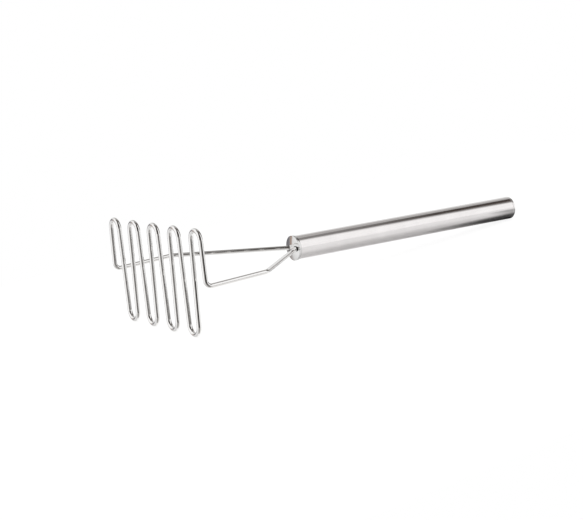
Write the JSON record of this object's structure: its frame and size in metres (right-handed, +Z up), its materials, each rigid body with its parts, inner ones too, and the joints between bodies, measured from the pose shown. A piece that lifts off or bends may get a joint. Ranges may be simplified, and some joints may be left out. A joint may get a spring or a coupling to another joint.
{
  "type": "potato masher",
  "caption": "Hand masher: a round wire bent into a flat grid of hairpin loops, its ends brought back as a yoke into a capped steel tube handle.",
  "frame": {"origin": "on the table under the middle of the masher's box, the masher lying on its lower loops and the lower rim of its rear end", "axes": "+X across the legs of the grid, +Y from the grid to the handle's rear end, +Z up"},
  "size_m": [0.2074, 0.4616, 0.1085],
  "materials": {
    "polished_wire": "polished",
    "satin_tube": "satin, drawn lengthwise",
    "polished_cap": "polished",
    "inner_steel": "plain"
  },
  "bodies": {
    "root": {"mashing_wire": "polished_wire", "handle_tube": "satin_tube", "front_cap": "polished_cap", "rear_cap": "satin_tube", "tang_anchor": "inner_steel", "tang_welds": "inner_steel"}
  },
  "joints": []
}
